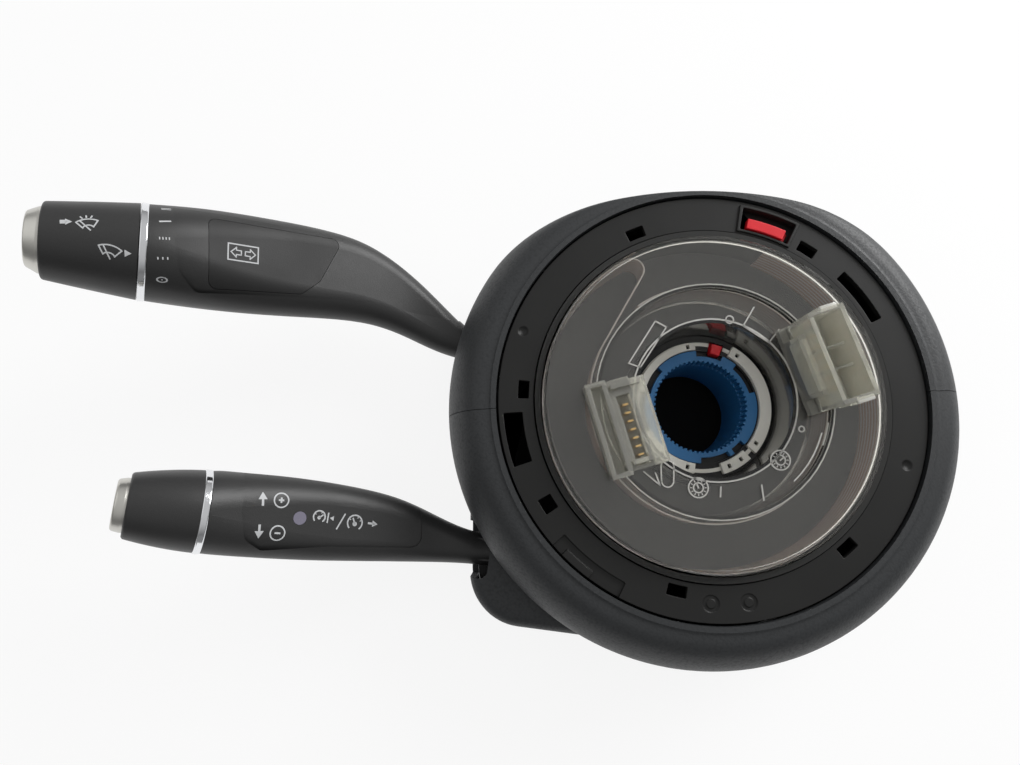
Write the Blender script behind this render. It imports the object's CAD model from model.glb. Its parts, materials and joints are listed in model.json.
"""Finishes, printed marks and studio for a steering column switch module.

Everything is in metres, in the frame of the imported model: the steering axis is +Z and the
module lies on its back. Sizes that the panel shows are in millimetres.
"""
import json
from math import atan2, cos, degrees, hypot, radians, sin

import bpy
from mathutils import Matrix, Vector

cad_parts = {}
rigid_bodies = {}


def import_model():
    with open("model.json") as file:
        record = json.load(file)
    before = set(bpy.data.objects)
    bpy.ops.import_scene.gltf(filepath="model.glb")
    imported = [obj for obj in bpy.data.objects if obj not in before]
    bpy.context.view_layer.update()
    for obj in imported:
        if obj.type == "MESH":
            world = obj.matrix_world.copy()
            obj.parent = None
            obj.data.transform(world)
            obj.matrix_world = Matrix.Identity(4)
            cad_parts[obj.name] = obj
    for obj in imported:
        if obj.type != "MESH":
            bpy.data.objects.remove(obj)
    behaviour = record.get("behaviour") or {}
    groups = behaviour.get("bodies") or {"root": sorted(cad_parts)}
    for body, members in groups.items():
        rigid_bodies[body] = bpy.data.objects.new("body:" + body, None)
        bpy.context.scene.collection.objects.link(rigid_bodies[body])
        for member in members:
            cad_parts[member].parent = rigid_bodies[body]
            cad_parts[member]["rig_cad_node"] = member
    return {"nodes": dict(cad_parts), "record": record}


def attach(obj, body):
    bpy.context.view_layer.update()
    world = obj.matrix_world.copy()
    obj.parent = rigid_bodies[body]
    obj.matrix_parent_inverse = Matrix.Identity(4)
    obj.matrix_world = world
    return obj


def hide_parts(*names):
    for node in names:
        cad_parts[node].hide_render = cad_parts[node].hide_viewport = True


bl_info = {
    "name": "Column switch module",
    "version": (1, 0, 0),
    "blender": (4, 5, 0),
    "location": "3D View > Sidebar > Column Switch",
    "description": "Finishes and prints a steering column switch module on its packed frame",
    "category": "Object",
}

MM = 0.001
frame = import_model()
NODES = frame["nodes"]
BODY_OF = {name: body for body, names in frame["record"]["behaviour"]["bodies"].items() for name in names}
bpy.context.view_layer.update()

# Moulded parts with visible sharp edges, and their rounding as a share of the usual one
SOFT_EDGES = {
    "face_ring": 1.0, "tall_socket": 0.8, "low_socket": 0.8, "drive_ring": 0.3, "lock_ring": 0.6,
    "lock_tab": 1.0, "release_slider": 1.2, "vehicle_connector": 0.8,
}
SHARP = radians(38)         # edges that bend by more than this are rounded
FLAT = radians(1.5)         # faces that bend by less than this are one face
MERGE = 0.001 * MM          # corners that lie this close are one corner
LOOK_FROM = 0.2             # height from which a face is looked for, above the whole module
DROP_FROM = 4.0 * MM        # height above its face from which a print is dropped
RIB_SUNK = 0.05 * MM        # how far the hub's ribs reach into its face
HUB_SPOT = (34.0, 0.0)      # a bare spot of the hub face inside the drum, in mm


# ---------------------------------------------------------------- settings
def colour(name, description, default):
    return bpy.props.FloatVectorProperty(
        name=name, description=description, default=default, size=3, min=0.0, max=1.0, subtype="COLOR")


def millimetres(name, description, default, low=0.0, high=50.0):
    return bpy.props.FloatProperty(name=name, description=description, default=default, min=low, max=high)


def share(name, description, default):
    return bpy.props.FloatProperty(
        name=name, description=description, default=default, min=0.0, max=1.0, subtype="FACTOR")


def power(name, description, default):
    return bpy.props.FloatProperty(
        name=name, description=description, default=default, min=0.0, max=200.0, unit="POWER")


class ColumnSwitchFinish(bpy.types.PropertyGroup):
    """Colours and grain of the module's plastics and metals"""

    shroud_colour: colour("Shroud", "Grained plastic of the two shroud shells", (0.027, 0.029, 0.031))
    shroud_grain: millimetres("Shroud grain", "Width of one cell of the grain, in mm", 0.75, 0.1, 5.0)
    stalk_colour: colour("Stalks", "Satin plastic of arms, knob and grip", (0.026, 0.026, 0.026))
    ring_colour: colour("Face ring", "Satin plastic of the face ring and cup", (0.0105, 0.0105, 0.010))
    clear_colour: colour("Rotor cover", "Clear plastic of the rotor cover", (0.93, 0.92, 0.88))
    socket_colour: colour("Sockets", "Milky plastic of the two sockets", (0.88, 0.87, 0.78))
    drive_colour: colour("Drive ring", "Plastic of the ring that the shaft turns", (0.022, 0.14, 0.34))
    white_colour: colour("Lock ring", "Pale plastic of the lock ring", (0.72, 0.71, 0.66))
    red_colour: colour("Slider and tab", "Plastic of the slider and the lock tab", (0.68, 0.012, 0.022))
    bright_colour: colour("Bright trim", "Polished trim rings", (0.83, 0.84, 0.86))
    button_colour: colour("End buttons", "Satin metallic end buttons", (0.62, 0.61, 0.57))
    edge_round: millimetres("Edge round", "Rounding of the moulded parts' edges, in mm", 0.25, 0.02, 1.0)


class ColumnSwitchMarks(bpy.types.PropertyGroup):
    """Printed and moulded marks"""

    ink_colour: colour("Ink", "Printed marks on the stalks", (0.50, 0.51, 0.52))
    stroke: millimetres("Stroke", "Width of a printed line, in mm", 0.42, 0.1, 2.0)
    ink_height: millimetres("Ink height", "Height of the print on the plastic, in mm", 0.03, 0.005, 0.5)
    rib_width: millimetres("Rib width", "Width of the fine ribs on the hub face, in mm", 0.45, 0.1, 2.0)
    rib_height: millimetres("Rib height", "Height of those ribs on the hub face, in mm", 0.30, 0.05, 2.0)


class ColumnSwitchStage(bpy.types.PropertyGroup):
    """Camera, lamps and floor"""

    camera_place: bpy.props.FloatVectorProperty(
        name="Camera", description="Place of the camera", default=(-0.06861, -0.03482, 0.29274),
        size=3, subtype="TRANSLATION", unit="LENGTH")
    camera_tilt: bpy.props.FloatProperty(
        name="Tilt", description="How far the camera leans up from looking straight down",
        default=radians(9.89), subtype="ANGLE", unit="ROTATION")
    lens: bpy.props.FloatProperty(
        name="Lens", description="Focal length on a 36 mm sensor",
        default=24.706, min=5.0, max=200.0, unit="CAMERA")
    key_power: power("Key lamp", "Power of the lamp at the upper right", 17.0)
    fill_power: power("Fill lamp", "Power of the lamp over the stalks", 1.2)
    room_light: bpy.props.FloatProperty(
        name="Room light", description="Strength of the light from all round",
        default=0.50, min=0.0, max=4.0)
    floor_shadow: share("Floor shadow", "How much of the object's shadow the floor shows", 0.13)


# ---------------------------------------------------------------- shader writing
class Value:
    """One output of a node; + - and * with numbers or other values add Math nodes."""

    def __init__(self, graph, socket):
        self.graph = graph
        self.socket = socket

    def _maths(self, operation, first, second):
        return self.graph.node("ShaderNodeMath", {"operation": operation}, {0: first, 1: second})

    def __add__(self, other):
        return self._maths("ADD", self, other)

    def __radd__(self, other):
        return self._maths("ADD", other, self)

    def __sub__(self, other):
        return self._maths("SUBTRACT", self, other)

    def __rsub__(self, other):
        return self._maths("SUBTRACT", other, self)

    def __mul__(self, other):
        return self._maths("MULTIPLY", self, other)

    def __rmul__(self, other):
        return self._maths("MULTIPLY", other, self)


class Graph:
    """A node tree that is written with calls and expressions."""

    def __init__(self, tree):
        self.tree = tree

    def node(self, kind, settings, inputs, output=0):
        """Adds a node, sets it, feeds its sockets and gives one of its outputs."""
        made = self.tree.nodes.new(kind)
        for name, setting in settings.items():
            if name == "stops":
                self._stops(made.color_ramp, setting)
            else:
                setattr(made, name, setting)
        for name, value in inputs.items():
            self._feed(made.inputs[name], value)
        return Value(self, made.outputs[output])

    def _feed(self, socket, value):
        if isinstance(value, Value):
            self.tree.links.new(value.socket, socket)
        elif socket.type == "RGBA" and len(value) == 3:
            socket.default_value = (*value, 1.0)
        else:
            socket.default_value = value

    def _stops(self, ramp, stops):
        while len(ramp.elements) < len(stops):
            ramp.elements.new(0.5)
        for element, (position, grey) in zip(ramp.elements, stops):
            element.position = position
            element.color = (grey, grey, grey, 1.0)

    def steps(self, value, stops):
        """A value passed through a ramp of greys."""
        return self.node("ShaderNodeValToRGB", {"stops": stops}, {0: value})

    def ray(self, kind):
        """1 for rays of one kind, such as Camera, and 0 for others."""
        return self.node("ShaderNodeLightPath", {}, {}, f"Is {kind} Ray")

    def shown(self, output, shader):
        """Sends a shader to an output node."""
        self._feed(output.inputs["Surface"], shader)


class Finish(Graph):
    """A node-based material with one Principled shader; sizes are in metres."""

    def __init__(self, name, uniform):
        self.material = bpy.data.materials.new(name)
        self.material.use_nodes = True
        super().__init__(self.material.node_tree)
        self.shader = self.tree.nodes["Principled BSDF"]
        self.place = self.node("ShaderNodeTexCoord", {}, {}, "Object")
        self.set(uniform)

    def set(self, inputs):
        for name, value in inputs.items():
            self._feed(self.shader.inputs[name], value)

    def stretched(self, scale):
        return self.node("ShaderNodeMapping", {}, {"Vector": self.place, "Scale": scale})

    def cloud(self, size, detail=3.0, rough=0.55, place=None):
        inputs = {"Vector": place or self.place, "Scale": 1.0 / size, "Detail": detail, "Roughness": rough}
        return self.node("ShaderNodeTexNoise", {}, inputs)

    def cells(self, size, feature="F1"):
        inputs = {"Vector": self.place, "Scale": 1.0 / size}
        return self.node("ShaderNodeTexVoronoi", {"feature": feature}, inputs, "Distance")

    def blend(self, factor, first, second):
        """A mix of two colours; sockets 6 and 7 of the Mix node are its colours."""
        return self.node("ShaderNodeMix", {"data_type": "RGBA"}, {0: factor, 6: first, 7: second}, 2)

    def height(self, value, depth):
        return self.node("ShaderNodeBump", {}, {"Height": value, "Distance": depth, "Strength": 1.0})


def tinted(rgb, factor):
    """A colour made darker or lighter."""
    return tuple(min(1.0, part * factor) for part in rgb)


def moulded(name, rgb, rough, shine, grain=0.5, depth=0.012):
    """Hard moulded plastic: slight colour drift and a fine grain, whose width and depth are in mm."""
    finish = Finish(name, {"Specular IOR Level": shine})
    drift = finish.cloud(0.018, 2.0)
    fine = finish.cloud(grain * MM, 4.0, 0.6)
    finish.set({
        "Base Color": finish.blend(drift, tinted(rgb, 0.86), tinted(rgb, 1.14)),
        "Roughness": rough + (drift - 0.5) * 0.12 + (fine - 0.5) * 0.10,
        "Normal": finish.height(fine, depth * MM),
    })
    return finish.material


def grained(settings):
    """The shroud's leather-like grain: rounded cells of two sizes over a soft unevenness."""
    finish = Finish("shroud_grain", {"Specular IOR Level": 0.42})
    size = settings.shroud_grain * MM
    warp = finish.cloud(size * 2.2, 2.0)
    pebbles = finish.cells(size, "SMOOTH_F1")
    crumbs = finish.cells(size * 0.45)
    grain = (1.0 - pebbles) * 0.7 + (1.0 - crumbs) * 0.3 + warp * 0.4
    drift = finish.cloud(0.03, 2.0)
    rgb = settings.shroud_colour
    tone = finish.blend(drift, tinted(rgb, 0.88), tinted(rgb, 1.12))
    valleys = finish.steps(pebbles, ((0.35, 0.0), (0.75, 1.0)))
    finish.set({
        "Base Color": finish.blend(valleys * 0.6, tone, tinted(rgb, 0.62)),
        "Roughness": 0.50 + (drift - 0.5) * 0.08 + valleys * 0.10,
        "Normal": finish.height(grain, 0.00007),
    })
    return finish.material


def satin(name, rgb, rough):
    """Fine spark-eroded satin of stalk plastics, a little smoother where hands rub."""
    finish = Finish(name, {"Specular IOR Level": 0.40})
    pits = finish.cells(0.00028)
    fine = finish.cloud(0.0006, 3.0)
    rubbed = finish.steps(finish.cloud(0.022, 2.0), ((0.42, 0.0), (0.70, 1.0)))
    finish.set({
        "Base Color": finish.blend(fine, tinted(rgb, 0.84), tinted(rgb, 1.16)),
        "Roughness": rough + (fine - 0.5) * 0.10 - rubbed * 0.07,
        "Normal": finish.height(pits + fine * 0.5, 0.000022),
    })
    return finish.material


def clear(settings):
    """Clear moulded cover: flow marks, a slight haze and a trace of dust."""
    finish = Finish("rotor_clear", {"Transmission Weight": 0.985, "IOR": 1.46})
    flow = finish.cloud(0.014, 3.0)
    specks = finish.steps(finish.cloud(0.0012, 2.0), ((0.70, 0.0), (0.80, 1.0)))
    rgb = settings.clear_colour
    finish.set({
        "Base Color": finish.blend(specks * 0.3, rgb, tinted(rgb, 0.85)),
        "Roughness": 0.045 + flow * 0.05 + specks * 0.03,
        "Normal": finish.height(flow, 0.0001),
    })
    return finish.material


def frosted(settings):
    """The brighter, slightly frosted plastic of the fine moulded ribs."""
    finish = Finish("rotor_edge", {"Transmission Weight": 0.55, "IOR": 1.49})
    cloudy = finish.cloud(0.002, 3.0)
    rgb = settings.clear_colour
    finish.set({
        "Base Color": finish.blend(cloudy, tinted(rgb, 0.92), tinted(rgb, 1.06)),
        "Roughness": 0.16 + cloudy * 0.14,
        "Normal": finish.height(cloudy, 0.00003),
    })
    return finish.material


def milky(settings):
    """Natural polycarbonate of the sockets: cloudy and slightly warm."""
    finish = Finish("socket_milky", {"Transmission Weight": 0.78, "IOR": 1.45, "Specular IOR Level": 0.5})
    cloudy = finish.cloud(0.006, 4.0)
    rgb = settings.socket_colour
    finish.set({
        "Base Color": finish.blend(cloudy, tinted(rgb, 0.90), tinted(rgb, 1.10)),
        "Roughness": 0.12 + cloudy * 0.12,
        "Normal": finish.height(finish.cloud(0.0016, 3.0), 0.00004),
    })
    return finish.material


def metal(name, rgb, rough, line=None, streak=0.04):
    """Bare or plated metal with faint working marks along one direction."""
    finish = Finish(name, {"Metallic": 1.0})
    place = finish.stretched(line) if line else finish.place
    marks = finish.cloud(0.0022, 4.0, 0.6, place)
    smear = finish.cloud(0.009, 2.0)
    finish.set({
        "Base Color": finish.blend(smear, tinted(rgb, 0.90), tinted(rgb, 1.06)),
        "Roughness": rough + (marks - 0.5) * streak + smear * 0.05,
        "Normal": finish.height(marks, 0.000006),
    })
    return finish.material


def circuit(rgb):
    """Solder-masked board with paler tracks under the mask."""
    finish = Finish("board_mask", {"Coat Roughness": 0.1, "Specular IOR Level": 0.5})
    tracks = finish.cells(0.0021, "DISTANCE_TO_EDGE")
    lines = finish.steps(tracks, ((0.04, 1.0), (0.10, 0.0)))
    finish.set({
        "Base Color": finish.blend(lines, rgb, tinted(rgb, 1.9)),
        "Roughness": 0.34 + lines * 0.12,
        "Coat Weight": 0.3 + lines * 0.2,
        "Normal": finish.height(lines, 0.00003),
    })
    return finish.material


def film():
    """Flat cable: clear film over bright copper tracks that run along it."""
    finish = Finish("cable_film", {"Specular IOR Level": 0.6})
    bands = finish.node("ShaderNodeTexWave", {"wave_type": "BANDS", "bands_direction": "Z"},
                        {"Vector": finish.place, "Scale": 160.0, "Distortion": 0.0})
    tracks = finish.steps(bands, ((0.35, 0.0), (0.45, 1.0)))
    finish.set({
        "Base Color": finish.blend(tracks, (0.42, 0.38, 0.36), (0.32, 0.20, 0.15)),
        "Roughness": 0.30 + tracks * 0.10,
        "Normal": finish.height(tracks, 0.00002),
    })
    return finish.material


def finishes(settings):
    """The finish of every material slot of the frame."""
    return {
        "shroud": grained(settings),
        "face_ring": moulded("ring_satin", settings.ring_colour, 0.46, 0.30),
        "housing": moulded("housing_black", (0.020, 0.020, 0.021), 0.52, 0.40, 0.7, 0.020),
        "cup": moulded("cup_black", (0.026, 0.026, 0.025), 0.60, 0.20, 4.0, 0.003),
        "core": moulded("core_black", (0.008, 0.008, 0.009), 0.40, 0.40, 0.5, 0.010),
        "clear_cover": clear(settings),
        "clear_socket": milky(settings),
        "blue": moulded("drive_blue", settings.drive_colour, 0.38, 0.45),
        "white": moulded("lock_white", settings.white_colour, 0.40, 0.40),
        "red": moulded("slider_red", settings.red_colour, 0.36, 0.40),
        "stalk": satin("stalk_satin", settings.stalk_colour, 0.44),
        "insert": satin("insert_satin", tinted(settings.stalk_colour, 0.52), 0.54),
        "bright": metal("trim_bright", settings.bright_colour, 0.08, (6.0, 1.0, 6.0)),
        "button": metal("button_satin", settings.button_colour, 0.30, None, 0.08),
        "lens": moulded("lens_violet", (0.17, 0.16, 0.21), 0.25, 0.60, 0.5, 0.008),
        "steel": metal("steel_plain", (0.50, 0.50, 0.49), 0.34, (1.0, 1.0, 0.15), 0.10),
        "board": circuit((0.012, 0.09, 0.035)),
        "component": moulded("component_black", (0.018, 0.018, 0.020), 0.45, 0.50, 0.3, 0.010),
        "contact": metal("contact_gold", (0.80, 0.55, 0.24), 0.22, (1.0, 1.0, 0.2)),
        "magnet": metal("magnet_plated", (0.42, 0.42, 0.44), 0.25),
        "ribbon": film(),
    }


# ---------------------------------------------------------------- modelling helpers
def active(*objects):
    """Leaves only these objects selected, the last one active."""
    bpy.ops.object.select_all(action="DESELECT")
    for piece in objects:
        piece.select_set(True)
        bpy.context.view_layer.objects.active = piece


def picked(piece, wanted):
    """Enters edit mode with only the points selected that pass a test."""
    active(piece)
    bpy.ops.object.mode_set(mode="EDIT")
    bpy.ops.mesh.select_mode(type="VERT")
    bpy.ops.mesh.select_all(action="DESELECT")
    bpy.ops.object.mode_set(mode="OBJECT")
    for vertex in piece.data.vertices:
        vertex.select = wanted(vertex.co)
    bpy.ops.object.mode_set(mode="EDIT")


def applied(piece, kind, **settings):
    """Adds a modifier, sets it and applies it."""
    active(piece)
    modifier = piece.modifiers.new(kind.title(), kind)
    for name, setting in settings.items():
        setattr(modifier, name, setting)
    bpy.ops.object.modifier_apply(modifier=modifier.name)


def finished(piece, name, body, material):
    """Names a piece, gives it its finish and lets it ride on its body."""
    piece.name = name
    piece.data.name = name
    piece.data.materials.clear()
    piece.data.materials.append(material)
    active(piece)
    bpy.ops.object.transform_apply(location=True, rotation=True, scale=True)
    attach(piece, body)
    return piece


def face_below(node, place):
    """The point and the normal of a node's face straight below a place given in mm."""
    start = (place[0] * MM, place[1] * MM, LOOK_FROM)
    hit, point, normal, _ = NODES[node].ray_cast(start, (0.0, 0.0, -1.0))
    if not hit:
        raise RuntimeError(f"{node} has no face below {place}")
    return point, normal


def softened(name, width):
    """A copy of a node whose sharp edges are rounded, which stands in for the node."""
    active(NODES[name])
    bpy.ops.object.duplicate()
    copy = bpy.context.object
    bpy.ops.object.mode_set(mode="EDIT")
    bpy.ops.mesh.select_all(action="SELECT")
    bpy.ops.mesh.remove_doubles(threshold=MERGE)
    bpy.ops.mesh.dissolve_limited(angle_limit=FLAT)
    bpy.ops.object.mode_set(mode="OBJECT")
    applied(copy, "BEVEL", width=width * MM, segments=2, limit_method="ANGLE", angle_limit=SHARP,
            use_clamp_overlap=False, miter_outer="MITER_ARC")
    bpy.ops.object.shade_smooth_by_angle(angle=SHARP)
    applied(copy, "WEIGHTED_NORMAL", keep_sharp=True, weight=60)
    copy.name = f"{name}_soft"
    copy.data.name = copy.name
    del copy["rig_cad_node"]
    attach(copy, BODY_OF[name])
    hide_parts(name)
    return copy


# ---------------------------------------------------------------- flat drawing, in millimetres
def toward(turn, length):
    """A flat step of a given length in a direction in degrees."""
    return Vector((cos(radians(turn)), sin(radians(turn)))) * length


def bar(start, end, width):
    """A straight stroke from one point to another."""
    (x0, y0), (x1, y1) = start, end
    bpy.ops.mesh.primitive_plane_add(
        size=1.0, location=((x0 + x1) / 2, (y0 + y1) / 2, 0.0),
        rotation=(0.0, 0.0, atan2(y1 - y0, x1 - x0)))
    stroke = bpy.context.object
    stroke.scale = (hypot(x1 - x0, y1 - y0) + width, width, 1.0)
    return stroke


def bars(rows, size, width):
    """Straight strokes whose ends are given as shares of a size."""
    return [bar((x0 * size, y0 * size), (x1 * size, y1 * size), width) for (x0, y0), (x1, y1) in rows]


def path(points, width, closed=False):
    """Straight strokes through a row of points."""
    ends = points[1:] + points[:1] if closed else points[1:]
    return [bar(start, end, width) for start, end in zip(points, ends)]


def solid(place, radius, sides=24, turn=0.0):
    """A filled round or many-sided shape, one corner of which points the given way."""
    bpy.ops.mesh.primitive_circle_add(
        vertices=sides, radius=radius, fill_type="NGON", location=(*place, 0.0),
        rotation=(0.0, 0.0, radians(turn - 90.0)))
    return bpy.context.object


def bow(place, radius, width, start=0.0, sweep=360.0, squash=1.0):
    """A round stroke: part of a circle's line, drawn outwards to the width of the stroke."""
    bpy.ops.mesh.primitive_circle_add(vertices=60, radius=radius - width / 2)
    stroke = bpy.context.object
    picked(stroke, lambda point: (degrees(atan2(point.y, point.x)) - start) % 360.0 > sweep + 0.01)
    bpy.ops.mesh.delete(type="VERT")
    bpy.ops.mesh.select_all(action="SELECT")
    bpy.ops.mesh.extrude_edges_move()
    factor = (radius + width / 2) / (radius - width / 2)
    bpy.ops.transform.resize(value=(factor, factor, 1.0), center_override=(0.0, 0.0, 0.0))
    bpy.ops.object.mode_set(mode="OBJECT")
    stroke.location = (*place, 0.0)
    stroke.scale = (1.0, squash, 1.0)
    return stroke


def drawn(strokes, cuts):
    """Strokes joined into one flat mark in metres, cut finely to follow a curved face."""
    active(*strokes)
    bpy.ops.object.join()
    mark = bpy.context.object
    bpy.ops.object.transform_apply(location=True, rotation=True, scale=True)
    mark.scale = (MM, MM, MM)
    bpy.ops.object.transform_apply(location=False, rotation=False, scale=True)
    if cuts:
        applied(mark, "SUBSURF", subdivision_type="SIMPLE", levels=cuts, render_levels=cuts)
    return mark


def thickened(mark, depth):
    """A flat mark given its thickness, half to each side, with its faces outwards."""
    applied(mark, "SOLIDIFY", thickness=depth, offset=0.0)
    active(mark)
    bpy.ops.object.mode_set(mode="EDIT")
    bpy.ops.mesh.select_all(action="SELECT")
    bpy.ops.mesh.normals_make_consistent(inside=False)
    bpy.ops.object.mode_set(mode="OBJECT")


def printed(strokes, name, node, place, turn, ink_height):
    """Prints a mark on a node's face: found from above, set square to the face and dropped onto it."""
    mark = drawn(strokes, 3)
    point, normal = face_below(node, place)
    across = Vector((0.0, 1.0, 0.0)).cross(normal).normalized()
    square = Matrix((across, normal.cross(across), normal)).transposed().to_4x4()
    start = Matrix.Translation(point + normal * DROP_FROM)
    mark.matrix_world = start @ square @ Matrix.Rotation(radians(turn), 4, "Z")
    # the ink's middle lies a tenth of its height above the face, so its back is sunk in
    applied(mark, "SHRINKWRAP", target=NODES[node], wrap_method="PROJECT", use_project_z=True,
            use_negative_direction=True, use_positive_direction=False, offset=0.1 * ink_height * MM)
    thickened(mark, 1.8 * ink_height * MM)
    return finished(mark, name, BODY_OF[node], bpy.data.materials["print_ink"])


def arrow(middle, turn, length, head, tail):
    """A solid arrow: its head, and a tail of the given width behind it."""
    tip = Vector(middle) + toward(turn, length / 2)
    marks = [solid(tip - toward(turn, 0.62 * head), 0.62 * head, 3, turn)]
    if length > head:
        back = tip - toward(turn, length - tail / 2)
        marks.append(bar(back, tip - toward(turn, 0.6 * head), tail))
    return marks


def windscreen(width, stroke):
    """A windscreen with its wiper."""
    sides_and_wiper = (((-0.50, 0.11), (-0.25, -0.24)), ((0.50, 0.11), (0.25, -0.24)),
                       ((-0.30, 0.16), (0.07, -0.39)))
    top = bow((0.0, -0.708 * width), 0.963 * width, stroke, 58, 64)
    bottom = bow((0.0, -0.44 * width), 0.33 * width, stroke, 42, 96)
    return [top, bottom, *bars(sides_and_wiper, width, stroke)]


def spray(width, stroke):
    """Washer jets above a windscreen."""
    jets = (((-0.20, 0.33), (-0.26, 0.42)), ((0.0, 0.36), (0.0, 0.47)), ((0.20, 0.33), (0.26, 0.42)))
    return bars(jets, width, stroke)


def ticks(middle, radius, turns, inner, outer, width):
    """Short strokes that point at a middle, between two shares of a radius."""
    return [bar(middle + toward(turn, inner * radius), middle + toward(turn, outer * radius), width)
            for turn in turns]


def gauge(middle, radius, stroke, needle):
    """A round gauge, open below, with its needle, hub and ticks."""
    middle = Vector(middle)
    hub = middle - Vector((0.0, 0.15 * radius))
    return [bow(middle, radius, stroke, -48, 276), solid(hub, 0.30 * radius),
            bar(hub, hub + toward(needle, 0.75 * radius), stroke),
            *ticks(middle, radius, (25, 65, 150), 0.74, 0.95, 0.6 * stroke)]


def dial(middle, radius, pointer, stroke):
    """A moulded date dial: two rings, ticks between them and a pointer."""
    middle = Vector(middle)
    return [bow(middle, radius, stroke), bow(middle, 0.50 * radius, stroke),
            bar(middle, middle + toward(pointer, 0.42 * radius), stroke),
            *ticks(middle, radius, range(0, 360, 30), 0.68, 0.80, 0.7 * stroke)]


# ---------------------------------------------------------------- operators
class COLUMNSWITCH_OT_finishes(bpy.types.Operator):
    """Give every part of the frame its own finish"""

    bl_idname = "column_switch.finishes"
    bl_label = "Finishes"

    def execute(self, context):
        settings = context.scene.column_switch_finish
        made = finishes(settings)
        frosted(settings)
        moulded("print_ink", context.scene.column_switch_marks.ink_colour, 0.50, 0.35, 0.4, 0.004)
        for name, node in NODES.items():
            for slot in node.material_slots:
                slot_name = slot.material.name.split(".")[0]
                if slot_name not in made:
                    raise RuntimeError(f"{name} has an unknown material slot {slot_name}")
                slot.material = made[slot_name]
        return {"FINISHED"}


class COLUMNSWITCH_OT_soft_edges(bpy.types.Operator):
    """Round the sharp edges of the moulded parts a little"""

    bl_idname = "column_switch.soft_edges"
    bl_label = "Soft edges"

    def execute(self, context):
        settings = context.scene.column_switch_finish
        for name, part in SOFT_EDGES.items():
            softened(name, part * settings.edge_round)
        return {"FINISHED"}


class COLUMNSWITCH_OT_socket_rails(bpy.types.Operator):
    """Cap the keys of the tall socket with their polished rails"""

    bl_idname = "column_switch.socket_rails"
    bl_label = "Socket rails"

    # in mm, from the steering axis along the socket's own directions
    socket_turn = 18.0          # degrees
    out = 37.2
    along = 15.2
    rise = 20.4                 # above the hub face
    rail_size = (5.6, 1.9, 1.5)
    rail_round = 0.4

    def execute(self, context):
        height = face_below("rotor_cover", HUB_SPOT)[0].z + self.rise * MM
        square = Matrix.Rotation(radians(self.socket_turn), 4, "Z")
        for name, side in (("upper_socket_rail", 1.0), ("lower_socket_rail", -1.0)):
            bpy.ops.mesh.primitive_cube_add(size=MM)
            rail = bpy.context.object
            rail.scale = self.rail_size
            bpy.ops.object.transform_apply(location=False, rotation=False, scale=True)
            applied(rail, "BEVEL", width=self.rail_round * MM, segments=3)
            bpy.ops.object.shade_smooth_by_angle(angle=radians(30))
            place = Vector((self.out * MM, side * self.along * MM, height))
            rail.matrix_world = square @ Matrix.Translation(place)
            finished(rail, name, "rotor", bpy.data.materials["rotor_edge"])
        return {"FINISHED"}


class COLUMNSWITCH_OT_knob_prints(bpy.types.Operator):
    """Print the wiper and washer signs on the turning knob and its positions on the arm"""

    bl_idname = "column_switch.knob_prints"
    bl_label = "Wiper prints"

    def execute(self, context):
        settings = context.scene.column_switch_marks
        line = settings.stroke
        push_arrow = [bar((-0.85, 0.0), (-0.15, 0.0), 1.3), solid((0.55, 0.0), 1.25, 3)]
        ring = [bow((0.0, 0.0), 1.45, 1.3 * line, squash=0.62), solid((0.0, 0.0), 0.22, 12)]
        three_dots = [bar((x, -0.2), (x, 0.2), 0.95 * line) for x in (-1.42, 0.0, 1.42)]
        four_dots = [bar((x, -0.25), (x, 0.25), 0.8 * line) for x in (-1.41, -0.47, 0.47, 1.41)]
        one_line = [bar((-1.5, 0.0), (1.5, 0.0), 1.3 * line)]
        two_lines = [bar((-1.3, y), (1.3, y), 0.7 * line) for y in (-0.42, 0.42)]
        rows = (
            ("push_arrow_mark", push_arrow, "wiper_knob", (-204.7, 50.5), 9.0),
            ("washer_mark", windscreen(6.0, line) + spray(6.0, line), "wiper_knob", (-199.2, 50.8), 15.0),
            ("wiper_mark", windscreen(6.5, line), "wiper_knob", (-193.2, 43.1), -9.0),
            ("knob_pointer_mark", [solid((0.0, 0.0), 1.3, 3)], "wiper_knob", (-188.8, 42.8), 3.0),
            ("off_mark", ring, "turn_stalk_arm", (-181.2, 36.8), 5.0),
            ("interval_mark", three_dots, "turn_stalk_arm", (-179.7, 42.8), 8.0),
            ("slow_mark", four_dots, "turn_stalk_arm", (-179.3, 49.2), 8.0),
            ("fast_mark", one_line, "turn_stalk_arm", (-180.0, 55.3), 14.0),
            ("fastest_mark", two_lines, "turn_stalk_arm", (-181.7, 60.9), 14.0),
        )
        for name, strokes, node, place, turn in rows:
            printed(strokes, name, node, place, turn, settings.ink_height)
        return {"FINISHED"}


class COLUMNSWITCH_OT_turn_print(bpy.types.Operator):
    """Print the framed pair of direction arrows on the insert plate"""

    bl_idname = "column_switch.turn_print"
    bl_label = "Direction print"

    def execute(self, context):
        settings = context.scene.column_switch_marks
        line = settings.stroke
        strokes = path([(-5.0, 2.8), (5.0, 2.8), (5.0, -2.8), (-5.0, -2.8)], 1.05 * line, True)
        half_arrow = [(4.05, 0.0), (2.3, 1.7), (2.3, 0.75), (0.65, 0.75)]
        outline = half_arrow + [(x, -y) for x, y in half_arrow[:0:-1]]
        for side in (-1.0, 1.0):
            strokes += path([(side * x, y) for x, y in outline], 0.9 * line, True)
        printed(strokes, "direction_mark", "turn_insert_plate", (-159.8, 49.8), 3.0, settings.ink_height)
        return {"FINISHED"}


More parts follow.
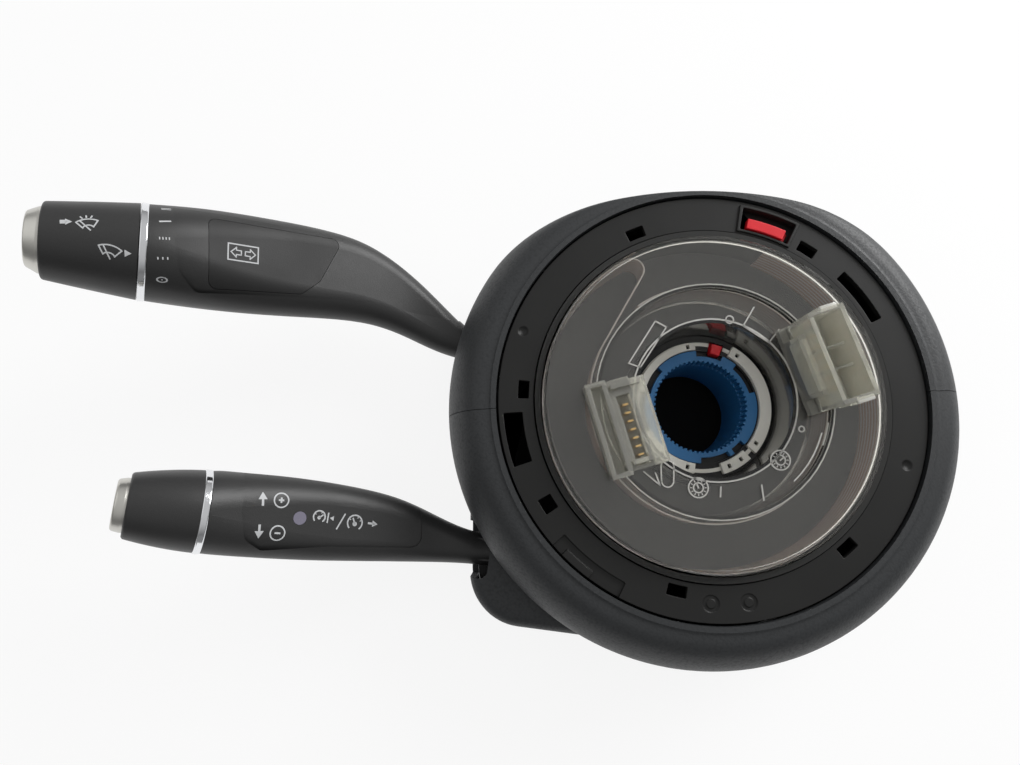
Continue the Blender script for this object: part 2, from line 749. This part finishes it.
class COLUMNSWITCH_OT_cruise_prints(bpy.types.Operator):
    """Print the signs of the cruise stalk"""

    bl_idname = "column_switch.cruise_prints"
    bl_label = "Cruise prints"

    def execute(self, context):
        settings = context.scene.column_switch_marks
        line = settings.stroke
        ring_plus = [bow((0.0, 0.0), 2.35, 1.1 * line), bar((-0.6, 0.0), (0.6, 0.0), 1.4 * line),
                     bar((0.0, -0.6), (0.0, 0.6), 1.4 * line)]
        ring_minus = [bow((0.0, 0.0), 2.35, 1.1 * line), bar((-0.65, 0.0), (0.65, 0.0), 1.4 * line)]
        limiter = gauge((-1.5, 0.0), 2.0, 1.1 * line, 40) + [
            bar((1.5, -1.5), (1.5, 1.5), 1.1 * line), *arrow((2.9, 0.0), 180, 1.5, 1.5, 0.5)]
        rows = (
            ("raise_mark", arrow((0.0, 0.0), 90, 4.6, 2.7, 0.75), (-149.3, -32.9), 0.0),
            ("lower_mark", arrow((0.0, 0.0), 270, 4.6, 2.7, 0.75), (-149.9, -43.5), 0.0),
            ("plus_mark", ring_plus, (-144.3, -33.4), -4.0),
            ("minus_mark", ring_minus, (-145.0, -44.1), -4.0),
            ("limiter_mark", limiter, (-132.2, -39.1), -7.5),
            ("slash_mark", [bar((-1.35, -2.4), (1.35, 2.4), 1.2 * line)], (-127.0, -40.6), 0.0),
            ("cruise_mark", gauge((0.0, 0.0), 2.6, 1.2 * line, 115), (-122.7, -41.1), -7.5),
            ("pull_arrow_mark", arrow((0.0, 0.0), 0, 3.6, 2.1, 0.7), (-117.1, -41.5), -7.5),
        )
        for name, strokes, place, turn in rows:
            printed(strokes, name, "cruise_stalk_arm", place, turn, settings.ink_height)
        return {"FINISHED"}


class COLUMNSWITCH_OT_hub_ribs(bpy.types.Operator):
    """Raise the fine ribs, outlines and date dials moulded on the clear hub face"""

    bl_idname = "column_switch.hub_ribs"
    bl_label = "Hub ribs"

    def execute(self, context):
        settings = context.scene.column_switch_marks
        line = settings.rib_width
        axis = (0.0, 0.0)
        gate = [(-19.0, 26.9), (-15.3, 24.8), (-24.6, 10.8), (-28.5, 12.2)]
        label = [(14.9, 31.7), (10.9, 25.2), (19.3, 19.4), (22.9, 23.8)]
        slot = [bar((-14.6, -22.2), (-14.9, -27.0), line), bar((-18.9, -22.6), (-18.9, -27.4), line),
                bow((-16.75, -22.4), 2.1, line, 0, 180), bow((-16.9, -27.2), 2.0, line, 180, 180)]
        spokes = [bar((0.5, -29.2), (0.2, -32.3), line), bar((13.9, -28.6), (14.3, -33.4), line)]
        rows = (
            ("gate_outline_rib", path(gate, line, True)),
            ("label_outline_rib", path(label, line)),
            ("ejector_ribs", [bow((6.4, 27.4), 1.3, line), bow((28.3, -10.1), 0.9, line)]),
            ("slot_outline_rib", slot),
            ("corner_ribs", path([(-24.6, -24.2), (-19.4, -28.6), (-20.8, -24.6)], line)),
            ("left_date_dial", dial((-6.9, -29.4), 3.2, degrees(1.9), line)),
            ("right_date_dial", dial((20.6, -20.4), 3.2, degrees(0.7), line)),
            ("edge_bow_ribs", [bow(axis, 36.7, line, -48, 35), bow(axis, 38.2, line, -28, 17)]),
            ("collar_lip", [bow(axis, 27.6, 1.2 * line)]),
            ("drum_lip", [bow(axis, 39.9, line)]),
            ("spoke_ribs", spokes),
        )
        finish = bpy.data.materials["rotor_edge"]
        hub_face = face_below("rotor_cover", HUB_SPOT)[0].z
        for name, strokes in rows:
            rib = drawn(strokes, 0)
            rib.location.z = hub_face + 0.5 * settings.rib_height * MM - RIB_SUNK
            thickened(rib, settings.rib_height * MM)
            finished(rib, name, "rotor", finish)
        return {"FINISHED"}


class COLUMNSWITCH_OT_stage(bpy.types.Operator):
    """Set up the camera, the lamps and the pale floor"""

    bl_idname = "column_switch.stage"
    bl_label = "Stage"

    def execute(self, context):
        settings = context.scene.column_switch_stage
        self.camera(context, settings)
        self.lamp("key_lamp", (0.85, 0.75, 0.58), 0.9, settings.key_power)
        self.lamp("fill_lamp", (-0.85, 0.35, 0.75), 1.1, settings.fill_power)
        self.room(context, settings)
        self.floor(settings)
        context.scene.view_settings.view_transform = "Standard"
        return {"FINISHED"}

    def camera(self, context, settings):
        bpy.ops.object.camera_add(location=settings.camera_place, rotation=(settings.camera_tilt, 0.0, 0.0))
        camera = context.object
        camera.name = "camera"
        camera.data.sensor_width = 36.0
        camera.data.lens = settings.lens
        camera.data.clip_start = 0.005
        context.scene.camera = camera

    def lamp(self, name, place, size, power):
        bpy.ops.object.light_add(type="AREA", location=place)
        lamp = bpy.context.object
        lamp.name = name
        lamp.data.shape = "DISK"
        lamp.data.size = size
        lamp.data.energy = power
        middle = Vector((-0.05, 0.0, 0.03))
        lamp.rotation_euler = (middle - lamp.location).to_track_quat("-Z", "Y").to_euler()

    def room(self, context, settings):
        world = bpy.data.worlds.new("room")
        world.use_nodes = True
        context.scene.world = world
        tree = world.node_tree
        tree.nodes.clear()
        room = Graph(tree)
        direction = room.node("ShaderNodeTexCoord", {}, {}, "Generated")
        rise = room.node("ShaderNodeVectorMath", {"operation": "DOT_PRODUCT"},
                         {0: direction, 1: (0.12, 0.30, 0.92)}, "Value")
        glow = room.steps(rise, ((0.0, 0.45), (0.12, 0.35), (0.55, 0.95), (1.0, 1.20)))
        light = room.node("ShaderNodeBackground", {}, {"Color": glow, "Strength": settings.room_light})
        white = room.node("ShaderNodeBackground", {}, {"Color": (1.0, 1.0, 1.0), "Strength": 1.0})
        seen = room.ray("Camera") + room.ray("Transmission")
        mixed = room.node("ShaderNodeMixShader", {}, {0: seen, 1: light, 2: white})
        room.shown(tree.nodes.new("ShaderNodeOutputWorld"), mixed)

    def floor(self, settings):
        bpy.ops.mesh.primitive_plane_add(size=6.0, location=(0.0, 0.0, -0.0003))
        floor = bpy.context.object
        floor.name = "floor"
        finish = Finish("floor_white", {"Roughness": 0.9})
        seen = finish.ray("Camera") + finish.ray("Glossy") + finish.ray("Transmission")
        glow = finish.node("ShaderNodeEmission", {}, {"Color": (1.0, 1.0, 1.0), "Strength": 1.0})
        flat = finish.node("ShaderNodeVectorMath", {"operation": "MULTIPLY"},
                           {0: finish.place, 1: (1.0, 1.0, 0.0)})
        away = finish.node("ShaderNodeVectorMath", {"operation": "LENGTH"}, {0: flat}, "Value")
        # dark out to 60 mm from the axis, so that the bore looks into the dark; the ramp spans 0.1 m
        outside = finish.steps(away * 10.0, ((0.58, 0.0), (0.62, 1.0)))
        finish.set({"Base Color": finish.blend(outside, (0.004, 0.004, 0.004), (0.92, 0.92, 0.92))})
        factor = seen * outside * (1.0 - settings.floor_shadow)
        surface = Value(finish, finish.shader.outputs[0])
        mixed = finish.node("ShaderNodeMixShader", {}, {0: factor, 1: surface, 2: glow})
        finish.shown(finish.tree.nodes["Material Output"], mixed)
        floor.data.materials.append(finish.material)


class COLUMNSWITCH_PT_panel(bpy.types.Panel):
    """The module's settings and steps"""

    bl_label = "Column switch module"
    bl_idname = "COLUMNSWITCH_PT_panel"
    bl_space_type = "VIEW_3D"
    bl_region_type = "UI"
    bl_category = "Column Switch"

    def draw(self, context):
        for group in GROUPS:
            settings = getattr(context.scene, group)
            box = self.layout.box()
            for name in settings.__annotations__:
                box.prop(settings, name)
        for step in STEPS:
            self.layout.operator(step.bl_idname)


GROUPS = {
    "column_switch_finish": ColumnSwitchFinish,
    "column_switch_marks": ColumnSwitchMarks,
    "column_switch_stage": ColumnSwitchStage,
}
STEPS = (
    COLUMNSWITCH_OT_finishes,
    COLUMNSWITCH_OT_socket_rails,
    COLUMNSWITCH_OT_knob_prints,
    COLUMNSWITCH_OT_turn_print,
    COLUMNSWITCH_OT_cruise_prints,
    COLUMNSWITCH_OT_hub_ribs,
    COLUMNSWITCH_OT_soft_edges,
    COLUMNSWITCH_OT_stage,
)


def register():
    for kind in (*GROUPS.values(), *STEPS, COLUMNSWITCH_PT_panel):
        bpy.utils.register_class(kind)
    for name, kind in GROUPS.items():
        setattr(bpy.types.Scene, name, bpy.props.PointerProperty(type=kind))


def unregister():
    for name in GROUPS:
        delattr(bpy.types.Scene, name)
    for kind in reversed((*GROUPS.values(), *STEPS, COLUMNSWITCH_PT_panel)):
        bpy.utils.unregister_class(kind)


def main():
    register()
    bpy.ops.column_switch.finishes()
    bpy.ops.column_switch.socket_rails()
    bpy.ops.column_switch.knob_prints()
    bpy.ops.column_switch.turn_print()
    bpy.ops.column_switch.cruise_prints()
    bpy.ops.column_switch.hub_ribs()
    # last of the pieces, because the prints need the nodes that it replaces and hides
    bpy.ops.column_switch.soft_edges()
    bpy.ops.column_switch.stage()


if __name__ == "__main__":
    main()
